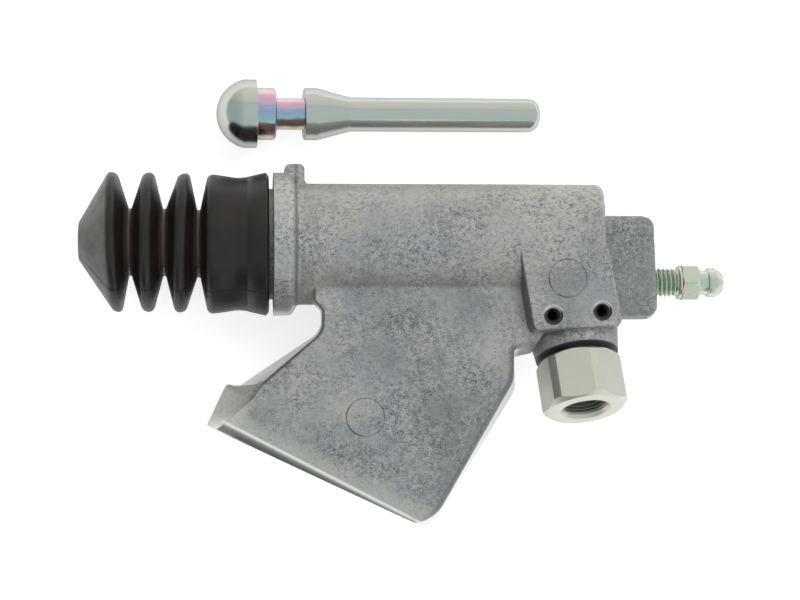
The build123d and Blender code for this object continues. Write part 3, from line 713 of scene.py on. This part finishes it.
def boot_outside():
    """The boot's outside from its mouth to its lip: station, radius and rounding."""
    half_flat, crest_half_width, pleat_height = 0.4, 1.85, 7.75
    cone_height, cone_length = 11.55, 7.05
    pleat_slope = pleat_height / (BOOT_PITCH / 2 - half_flat - crest_half_width)
    slope = cone_height / cone_length
    start = (BOOT_TIP, BOOT_TIP_RADIUS)
    corners = [(BOOT_TIP, BOOT_MOUTH_RADIUS, 0), (*start, 0.3)]
    for crest in BOOT_CRESTS:
        foot = crest + BOOT_PITCH / 2 - half_flat
        # The two slopes meet at the apex, and its rounding brings it down to the crest
        meeting = pleat_slope * foot + BOOT_VALLEY_RADIUS - start[1] + slope * start[0]
        x = meeting / (slope + pleat_slope)
        apex = start[1] + slope * (x - start[0])
        lean = (math.atan(slope) + math.atan(pleat_slope)) / 2
        rounding = (apex - BOOT_CREST_RADIUS) / (1 / math.cos(lean) - 1)
        start = (foot + 2 * half_flat, BOOT_VALLEY_RADIUS)
        corners += [(x, apex, rounding), (foot, BOOT_VALLEY_RADIUS, 0.25), (*start, 0.25)]
        slope = pleat_slope
    corners += [(-17.3, 18.75, 1.7), (-13.4, 18.25, 6.0), (-9.3, 17.62, 9.0)]
    # The fine step on the neck, and the flare to the lip
    corners += [(-6.8, 17.95, 0.15), (-6.75, 18.02, 0), (-4.2, 18.62, 6)]
    return corners + [(-1.9, 19.15, 0.4), (-1.2, 18.2, 0.3)]


def boot_inside():
    """The boot's inside from its lip back to its mouth: station, radius and rounding."""
    lip, spigot_end, mouth_end = -1.2, -14.1, -46.5
    seat_radius, valley_radius, crest_radius = 14.95, 7.3, 16.6
    corners = [(lip, seat_radius, 0), (spigot_end, seat_radius, 0), (spigot_end, 8.3, 0.3)]
    for crest in reversed(BOOT_CRESTS):
        corners += [(crest + BOOT_PITCH / 2, valley_radius, 0.4), (crest, crest_radius, 0.8)]
    corners += [(mouth_end, valley_radius, 0.3), (mouth_end, BOOT_MOUTH_RADIUS, 0.2)]
    return corners + [(BOOT_TIP, BOOT_MOUTH_RADIUS, 0)]


def dust_boot():
    """Boot with its leaning pleats and the fine parting line of its mould."""
    seam_depth, seam_width = 0.16, 0.09
    step_height, step_width, step_reach, step_end = 0.07, 0.12, 2.5, -40
    pleat_reach, pleat_foot, pleat_height, pleat_tilt = 4.6, 7, 11, 0.02
    beside_parting = np.arange(-3, 4) * 0.0045
    angles = np.concatenate([even_angles(220), (BOOT_PARTING + beside_parting) % FULL_TURN])
    angles = np.sort(angles)
    from_parting = np.angle(np.exp(1j * (angles - BOOT_PARTING)))
    axis = Axis((0, 0, 0), X_AXIS, Y_AXIS)
    rings = []
    for x, r in softened(boot_outside() + boot_inside(), 6):
        arc = from_parting * r
        seam = seam_depth * np.exp(-((arc / seam_width) ** 2))
        step = step_height * np.tanh(arc / step_width) * np.exp(-((arc / step_reach) ** 2))
        radius = r - seam * (r > BOOT_VALLEY_RADIUS) + step * (x < step_end)
        ring = axis.ring(x, radius, angles)
        for crest, (lean, shift) in zip(BOOT_CRESTS, BOOT_PLEATS):
            reach = np.clip(1 - np.abs(ring[:, X] - crest) / pleat_reach, 0, 1)
            out = np.hypot(ring[:, Y], ring[:, Z])
            weight = reach * np.clip((out - pleat_foot) / pleat_height, 0, 1)
            ring[:, X] += weight * (shift - lean * ring[:, Y] - pleat_tilt * ring[:, Z])
        stations = [BOOT_TIP, *BOOT_CRESTS, BOOT_NECK]
        ring[:, Y] += np.interp(ring[:, X], stations, BOOT_OFFSETS)
        rings.append(ring)
    return skin("boot", rings, closed=True, sharp=50)


def boot_rubber():
    """Satin black rubber, with painted light in the pleats' valleys and a lighter, cloudy grey on the cone.
    """
    shader = Shader("boot_rubber", Metallic=0.0, Specular_IOR_Level=0.4)
    bloom = shader.spread(shader.noise(9, 5, 0.65), 0.35, 0.75)
    shader.color = shader.blend(bloom, BOOT["dark"], BOOT["bloom"])
    # Painted light: the valleys between the pleats are lighter
    valley = shader.fade(shader.radius((0, 0, 0), X_AXIS), 12.5, 10.0)
    shader.paint(BOOT["valley"], valley, shader.step(X, -41, -40))
    cloudy = shader.spread(shader.noise(6, 4, 0.6, shift=2), 0.25, 0.75, 0.35, 1)
    # Lighter, cloudy grey painted on the cone
    shader.paint(BOOT["cone"], shader.step(X, -42.6, -44.0), cloudy)
    toward = (0, math.cos(BOOT_PARTING), math.sin(BOOT_PARTING))
    beside = (0, -math.sin(BOOT_PARTING), math.cos(BOOT_PARTING))
    out = shader.station((0, 0, 0), toward)
    aside = shader.number("ABSOLUTE", shader.station((0, 0, 0), beside))
    shader.paint(BOOT["parting"], shader.fade(aside, 0.28, 0.10), shader.fade(out, 1, 2))
    rough = shader.spread(shader.noise(4, 4, 0.6, shift=5), 0.3, 0.7, 0.32, 0.44, smooth=False)
    return shader.finish(rough, shader.bump(shader.noise(0.6, 3), 0.010))


# Metals and rubber of the small pieces


def grey(value, warm=0.0):
    """Linear colour of a grey; a positive warm leans to yellow, a negative to blue."""
    return (value * (1 + warm), value, value * (1 - warm * 1.5), 1)


def rubber(name, shade):
    """Moulded rubber, satin, with a faint bloom."""
    shader = Shader(name, Metallic=0.0)
    bloom = shader.spread(shader.noise(9, 5, 0.65), 0.35, 0.75)
    shader.color = shader.blend(bloom, grey(shade, 0.08), grey(shade, 0.04))
    rough = shader.spread(shader.noise(4, 4, 0.6, shift=5), 0.3, 0.7, 0.36, 0.52, smooth=False)
    return shader.finish(rough, shader.bump(shader.noise(0.6, 3), 0.012))


def plain_metal(name, shade, roughness, warm=0.0):
    """Turned or drawn metal with fine marks."""
    shader = Shader(name, Metallic=1.0)
    marks = shader.noise(0.35, 4, 0.6)
    shader.color = shader.blend(shader.noise(4, 3, 0.5), grey(shade * 0.9, warm), grey(shade * 1.08, warm))
    rough = shader.spread(marks, 0.3, 0.7, roughness * 0.8, roughness * 1.25, smooth=False)
    return shader.finish(rough, shader.bump(marks, 0.01))


def zinc(name, shade, roughness, tint, stretch, amount):
    """Zinc plate with soft colour bands; gives its shader, roughness and fine marks."""
    shader = Shader(name, Metallic=1.0, Specular_Tint=(0.62, 0.62, 0.58, 1))
    stops = [(0.3 + 0.4 * k / (len(tint) - 1), color) for k, color in enumerate(tint)]
    bands = shader.ramp(shader.noise(3.0, 3, 0.55, stretch), stops)
    shader.color = shader.blend(amount, grey(shade), bands)
    marks = shader.noise(0.3, 4, 0.6, shift=4)
    rough = shader.spread(marks, 0.3, 0.7, roughness * 0.7, roughness * 1.3, smooth=False)
    return shader, rough, marks


def satin_plate():
    """Pale satin plating of the hose fitting, with painted shade in its bore and thread and on two sides of
    its hexagon.
    """
    shader = Shader("fitting_plate", Metallic=0.85)
    shader.color = shader.blend(shader.noise(5, 3, 0.5), PORT_COOL, PORT_WARM)
    # Painted shade inside the bore and thread
    shader.paint(PORT_BORE_SHADE, shader.fade(shader.radius(PORT_POINT, PORT_ALONG), 6.1, 5.6, 0, 0.93))
    # Painted shade on the hexagon's sides that face these ways
    for angle, amount in PORT_SHADED_SIDES:
        turn = math.radians(angle)
        side = PORT_SIDE * math.cos(turn) + PORT_FRONT * math.sin(turn)
        facing = shader.measure("DOT_PRODUCT", shader.normal, side)
        shader.paint(PORT_SIDE_SHADE, shader.spread(facing, 0.93, 0.975, 0, amount))
    marks = shader.noise(0.4, 3, 0.6)
    rough = shader.spread(marks, 0.3, 0.7, 0.36, 0.44, smooth=False)
    return shader.finish(rough, shader.bump(marks, 0.006))


def screw_metal():
    """Zinc plate of the bleed screw, green in the roots of its thread."""
    shader, rough, marks = zinc("screw_zinc", 0.62, 0.26, SCREW_TINT, (1, 1, 1), 0.7)
    last = BLEED_START + BLEED_THREAD_END + 0.1
    thread = shader.step(X, last, last - 0.4)
    depth = shader.fade(shader.radius((0, BLEED_Y, BLEED_Z), X_AXIS), 3.4, 3.8)
    plated = shader.blend(depth, THREAD_ROOT_COLOR, THREAD_CREST_COLOR)
    shader.paint(plated, thread, 0.85)
    return shader.finish(rough, shader.bump(marks, 0.01))


def rod_metal():
    """Bright plate with rainbow colours on the step and in the groove."""
    shader, rough, marks = zinc("rod_zinc", 0.57, 0.19, ROD_TINT, (0.2, 1, 1), 0.6)
    axis = rod_axis()
    station = shader.station(axis.origin, axis.along)
    before = shader.fade(station, ROD_STEP_END + 0.2, ROD_STEP_END - 0.2, 1, 0)
    after = shader.fade(station, ROD_COLLAR_END - 0.2, ROD_COLLAR_END + 0.2, 1, 0)
    lift = shader.spread(shader.tilt[Y], -1, 1, smooth=False)
    wander = shader.number("SUBTRACT", shader.noise(3.0, 2, 0.5, (0.8, 0.6, 1), 9), 0.5)
    hue = shader.number("MULTIPLY_ADD", wander, 0.22, lift)
    shader.paint(shader.ramp(hue, ROD_RAINBOW), before, after, 0.85)
    return shader.finish(rough, shader.bump(marks, 0.006))


# Small pieces


def screw_hexagon(axis, start, end):
    """The bleed screw's hexagon, chamfered at both ends."""
    washer_radius, end_radius = 4.7, 4.55
    angles, radius = hexagon(9.5, 5.3, math.radians(3.8))
    sections = [
        (start, 0),
        (start, np.minimum(radius, washer_radius)),
        (start + np.maximum(radius - washer_radius, 0) * 0.4, radius),
        (chamfered_end(radius, end, end_radius, 1.25), radius),
        (end, np.minimum(radius, 4.5)),
        (end, 3.0),
    ]
    return skin("screw_hexagon", rings_along(axis, sections, angles), sharp=12)


def screw_nipple(axis, angles, start):
    """The bleed screw's hose nipple, drilled from its end."""
    stem, land, tip = start + 2.5, start + 4.7, start + 6.9
    hole, depth = 1.0, 9.0
    corners = [
        (start - 0.2, 3.4, 0),
        (start + 0.5, 3.4, 0),
        (stem - 0.05, 3.36, 0.2),
        (stem, 3.8, 0.1),
        (stem + 0.25, 4.03, 0.2),
        (land, 4.05, 0.35),
        (tip, 2.45, 0.45),
        (tip, 1.25, 0.15),
        (tip - 0.5, hole, 0.1),
        (tip - depth, hole, 0),
        (tip - depth, 0, 0),
    ]
    return turned("screw_nipple", axis, softened(corners), angles)


def bleed_screw():
    """Bleed screw with its real thread, neck, washer, hexagon and nipple."""
    axis = Axis((BLEED_START, BLEED_Y, BLEED_Z), X_AXIS, Y_AXIS)
    angles = even_angles(144)
    tip, washer, pitch = -9.0, 6.6, 1.25
    head_start, head_end = washer + 0.8, washer + 5.7
    rings = rings_along(axis, [(tip, 0), (tip, 3.0)], angles)
    for x in np.arange(tip + 0.1, BLEED_THREAD_END, 0.07):
        fade = np.clip((BLEED_THREAD_END - x) / 0.5, 0, 1) * np.clip((x - tip - 0.1) / 0.8, 0, 1)
        crest = BLEED_THREAD_ROOT + BLEED_THREAD_DEPTH * fade
        radius = threaded_radius(angles, x, BLEED_THREAD_ROOT, crest, pitch, 0.3)
        rings.append(axis.ring(x, radius, angles))
    corners = [
        (BLEED_THREAD_END, 3.3, 0),
        (BLEED_THREAD_END + 0.2, 3.4, 0.1),
        (washer - 0.05, 3.5, 0.1),
        (washer, 4.3, 0),
        (washer + 0.1, 4.65, 0.15),
        (washer + 0.75, 4.7, 0.1),
        (head_start, 4.0, 0),
    ]
    rings += rings_along(axis, softened(corners), angles)
    body = skin("screw_thread", rings, sharp=60)
    head = screw_hexagon(axis, head_start, head_end)
    return join("bleed_screw_piece", [body, head, screw_nipple(axis, angles, head_end)])


def fitting_hexagon(axis):
    """The hose fitting's hexagon with turned-off corners and a countersink."""
    start_radius, end_radius, mouth_radius = 10.1, 10.05, 6.72
    angles, radius = hexagon(20.9, 11.4, math.radians(106.5))
    sections = [
        (PORT_START, 6.4),
        (PORT_START, np.minimum(radius, start_radius)),
        (PORT_START + np.maximum(radius - start_radius, 0) * 0.8, radius),
        (chamfered_end(radius, PORT_END, end_radius, 0.85), radius),
        (PORT_END, 10.0),
        (PORT_END, mouth_radius),
        (PORT_END - 0.06, mouth_radius - 0.1),
        (PORT_END - 1.05, PORT_THREAD_RADIUS),
    ]
    return skin("fitting_hexagon", rings_along(axis, sections, angles), sharp=9)


def fitting_thread(axis):
    """The fine thread inside the hose fitting, and the passage behind it."""
    depth, pitch, thread_depth, passage = 11.0, 1.0, 0.5, 1.9
    angles = even_angles(160)
    first = PORT_END - 1.1
    rings = [axis.ring(PORT_END - 1.05, PORT_THREAD_RADIUS, angles)]
    for x in np.arange(first, PORT_END - depth, -0.08):
        crest = PORT_THREAD_RADIUS - thread_depth * np.clip((first - x) / 0.3, 0, 1)
        radius = threaded_radius(angles, -x, PORT_THREAD_RADIUS, crest, pitch)
        rings.append(axis.ring(x, radius, angles))
    end = PORT_END - depth
    rings += rings_along(axis, [(end, passage), (end - 1.5, passage), (end - 1.5, 0)], angles)
    return skin("fitting_thread", rings, sharp=60)


def fitting_stub(axis):
    """The hose fitting's stub with its seal groove."""
    end, radius, groove_radius = -3.0, 6.5, 5.2
    groove_start, groove_end = 6.9, 9.3
    corners = [
        (end, 0, 0),
        (end, radius, 0.6),
        (groove_start, radius, 0.1),
        (groove_start, groove_radius, 0.1),
        (groove_end, groove_radius, 0.1),
        (groove_end, radius, 0.1),
        (PORT_START, radius, 0),
    ]
    return turned("fitting_stub", axis, softened(corners))


def port_fitting():
    """Hose fitting from its hexagon, its thread and its stub."""
    axis = Axis(PORT_POINT, PORT_ALONG, PORT_SIDE)
    return join("hose_fitting", [fitting_hexagon(axis), fitting_thread(axis), fitting_stub(axis)])


def rod_axis():
    """The rod lies on the floor on its head and the end of its shank."""
    reach = -(ROD_STEP_END + ROD_HEAD_END) / 2 - ROD_TIP_REST
    slope = math.asin((ROD_HEAD_RADIUS - ROD_SHANK_RADIUS) / reach)
    low = FLOOR_LEVEL + ROD_SHANK_RADIUS * math.cos(slope) - ROD_TIP_REST * math.sin(slope)
    flat = math.cos(slope)
    along = (math.cos(ROD_TURN) * flat, math.sin(ROD_TURN), -math.cos(ROD_TURN) * math.sin(slope))
    return Axis((ROD_TIP_X, ROD_TIP_Y, low), along, Y_AXIS)


def push_rod():
    """Push rod with its small edge breaks."""
    corners = [
        (0, 0, 0),
        (0, ROD_SHANK_RADIUS, 3.3),
        (ROD_SHANK_END, ROD_SHANK_RADIUS, 1.5),
        (ROD_TAPER_END, ROD_COLLAR_RADIUS, 0.6),
        (ROD_COLLAR_END, ROD_COLLAR_RADIUS, 0.25),
        (ROD_COLLAR_END, ROD_GROOVE_RADIUS, 0.2),
        (ROD_GROOVE_END, ROD_GROOVE_RADIUS, 0.2),
        (ROD_GROOVE_END, ROD_COLLAR_RADIUS, 0.9),
        (ROD_STEP_END, ROD_COLLAR_RADIUS, 0.1),
        (ROD_STEP_END, ROD_HEAD_RADIUS, 0.15),
        (ROD_HEAD_END, ROD_HEAD_RADIUS, 0),
    ]
    sphere = (ROD_HEAD_RADIUS**2 + ROD_BALL_HEIGHT**2) / (2 * ROD_BALL_HEIGHT)
    centre = ROD_HEAD_END + sphere - ROD_BALL_HEIGHT
    limit = math.asin(ROD_HEAD_RADIUS / sphere)
    ball = [
        (centre - sphere * math.cos(angle), sphere * math.sin(angle))
        for angle in np.linspace(limit, 0, 25)[1:]
    ]
    profile = np.concatenate([softened(corners, 6), ball])
    return turned("ball_rod", rod_axis(), profile, sharp=35)


def pin_piece(name, x, y):
    """Slotted spring pin below its mouth, the slot toward the barrel."""
    top, length, outer, inner, gap = BLOCK_FACE - 1.4, 23.0, 1.74, 1.3, 0.3
    angles = np.linspace(gap, FULL_TURN - gap, 49) - math.pi / 2
    axis = Axis((x, y, top), -Z_AXIS, X_AXIS)
    mouth = [(0.25, inner, 0), (0, inner + 0.08, 0.05), (0, outer - 0.2, 0.12), (0.35, outer, 0.1)]
    profile = [*softened(mouth, 3), (length, outer), (length, inner)]
    count, rows = len(angles), len(profile)
    faces = []
    for i in range(rows):
        j = (i + 1) % rows
        for k in range(count - 1):
            faces.append((i * count + k, i * count + k + 1, j * count + k + 1, j * count + k))
    faces.append([i * count for i in range(rows)])
    faces.append([i * count + count - 1 for i in range(rows)])
    return mesh_object(name, np.concatenate(rings_along(axis, profile, angles)), faces, 35)


def return_spring():
    """Coil between the piston's seat and the closed end of the bore."""
    wire, radius, turns, steps, inset = 0.88, 6.3, 6, 240, 0.9
    start, end = SPRING_START + inset, SPRING_END - inset
    advance = X_AXIS * (end - start) / (FULL_TURN * turns)
    around = even_angles(14)[:, None]
    rings = []
    for index, k in enumerate([0, *range(steps + 1), steps]):
        angle = FULL_TURN * turns * k / steps
        out = Z_AXIS * math.cos(angle) - Y_AXIS * math.sin(angle)
        forward = -Y_AXIS * math.cos(angle) - Z_AXIS * math.sin(angle)
        third = np.cross(unit(advance + forward * radius), out)
        centre = X_AXIS * (start + (end - start) * k / steps) + out * radius
        # The first and the last ring close the wire's ends
        size = wire if 0 < index < steps + 2 else 0
        rings.append(centre + (out * np.cos(around) + third * np.sin(around)) * size)
    return skin("return_spring", rings, sharp=60)


# Pieces and their materials


def dress():
    """Put every piece and every material in place."""
    nodes = frame["nodes"]
    looks = {
        "housing": cast_metal(),
        "piston": plain_metal("anodised", 0.55, 0.3),
        "rear_seal": rubber("seal_rubber", 0.02),
        "stop_ring": plain_metal("spring_wire", 0.45, 0.25),
        "fitting_seal": rubber("ring_rubber", 0.02),
    }
    looks["primary_cup"] = looks["rear_seal"]
    looks["spring_seat"] = looks["stop_ring"]
    for name, material in looks.items():
        nodes[name].data.materials.clear()
        nodes[name].data.materials.append(material)
    pin_look = plain_metal("pin_steel", 0.11, 0.35, 0.10)
    made = [
        (dust_boot(), "housing_body", "dust_boot", "boot_rubber", boot_rubber()),
        (bleed_screw(), "bleed_body", "bleed_screw", "zinc_plated_steel", screw_metal()),
        (port_fitting(), "housing_body", "port_fitting", "fitting_steel", satin_plate()),
        (push_rod(), "housing_body", "push_rod", "rod_steel", rod_metal()),
        (return_spring(), "piston_body", "piston_spring", "spring_steel", looks["stop_ring"]),
    ]
    for (x, y, _), node in zip(PIN_SPOTS, ("roll_pin_left", "roll_pin_right")):
        made.append((pin_piece(node + "_piece", x, y), "housing_body", node, "pin_steel", pin_look))
    for piece, body, node, slot, material in made:
        piece.data.materials.clear()
        piece.data.materials.append(material)
        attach(piece, body)
        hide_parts(node)
        if node == "piston_spring":
            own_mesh(piece)
    for name, mark in zip(("web_ejector_ring", "pad_ejector_ring"), EJECTOR_MARKS):
        ring = ejector_ring(name, *mark)
        ring.data.materials.append(looks["housing"])
        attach(ring, "housing_body")


# Stage


def look_along(made, place, side, up, back):
    """Place a camera or a lamp, in metres, with back pointing away from its view."""
    turn = Matrix([[side[i], up[i], back[i]] for i in range(3)]).to_4x4()
    made.matrix_world = Matrix.Translation(place) @ turn


def camera():
    """Camera where the photograph was taken from, a little left and below."""
    back = np.array([-math.sin(CAMERA_LEFT), -math.sin(CAMERA_BELOW), 0.0])
    back[Z] = math.sqrt(1 - back @ back)
    side = unit(np.cross(Y_AXIS, back))
    up = np.cross(back, side)
    right = side * math.cos(CAMERA_ROLL) - up * math.sin(CAMERA_ROLL)
    upright = side * math.sin(CAMERA_ROLL) + up * math.cos(CAMERA_ROLL)
    data = bpy.data.cameras.new("camera")
    data.sensor_width = SENSOR_WIDTH
    data.lens = FOCAL_PIXELS / WIDTH_PIXELS * SENSOR_WIDTH
    data.clip_start = 0.01
    made = link("camera", data)
    look_along(made, home(CAMERA_AIM + CAMERA_DISTANCE * back).tolist(), right, upright, back)
    bpy.context.scene.camera = made


def floor():
    """Pale floor that keeps a soft shadow."""
    half_side, gap = 3.0, 0.02
    z = (FLOOR_LEVEL - ORIGIN[Z] - gap) * MM
    corners = [(x * half_side, y * half_side, z) for x, y in ((-1, -1), (1, -1), (1, 1), (-1, 1))]
    mesh = bpy.data.meshes.new("floor")
    mesh.from_pydata(corners, [], [(0, 1, 2, 3)])
    shader = Shader("floor", Roughness=0.9, Base_Color=(0.8, 0.8, 0.8, 1), Emission_Color=WHITE)
    camera_ray, shiny = shader.rays()
    seen = shader.number("MAXIMUM", camera_ray, shiny)
    glow = shader.number("SUBTRACT", shader.product(seen, 0.7), shader.product(shiny, 0.28))
    shader.put(shader.surface.inputs["Emission Strength"], glow)
    mesh.materials.append(shader.material)
    link("floor", mesh)


def world():
    """White to the eye, soft studio light otherwise, with bands for the metals."""
    made = bpy.data.worlds.new("world")
    made.use_nodes = True
    made.node_tree.nodes.clear()
    nodes = Nodes(made.node_tree)
    direction = nodes.parts(nodes.node("TexCoord").outputs["Generated"])
    bands = nodes.ramp(nodes.spread(direction[Y], -1, 1, smooth=False), STUDIO_BANDS)
    right = nodes.spread(direction[X], 0.18, 0.22)
    low = nodes.spread(direction[Y], -0.6, -0.72, smooth=False)
    bands = nodes.blend(nodes.product(right, low), bands, STUDIO_CORNER, "LIGHTEN")
    darker_left = nodes.spread(direction[X], -0.25, -0.75, 1.0, 0.75)
    light = nodes.node("Background", darker_left, 0.6).outputs[0]
    reflected = nodes.node("Background", nodes.vector("MULTIPLY", bands, darker_left), 1.0).outputs[0]
    white = nodes.node("Background", WHITE, 1.0).outputs[0]
    camera_ray, shiny = nodes.rays()
    studio = nodes.node("MixShader", shiny, light, reflected).outputs[0]
    nodes.node("OutputWorld", nodes.node("MixShader", camera_ray, studio, white).outputs[0])
    bpy.context.scene.world = made


def lamp(name, place, aim, size, power):
    """Soft square lamp, in metres and watts, unseen in reflections."""
    data = bpy.data.lights.new(name, "AREA")
    data.size = size
    data.energy = power
    made = link(name, data)
    made.visible_glossy = False
    back = unit(np.array(place) - np.array(aim))
    side = unit(np.cross(Y_AXIS, back))
    look_along(made, place, side, np.cross(back, side), back)


camera()
dress()
floor()
world()
lamp("key", (0.35, 0.5, 0.8), (0.03, 0.03, 0), 0.6, 3.8)
lamp("fill", (0.5, -0.35, 0.7), (0.03, 0.03, 0), 0.7, 1.3)
bpy.context.scene.view_settings.view_transform = "Standard"
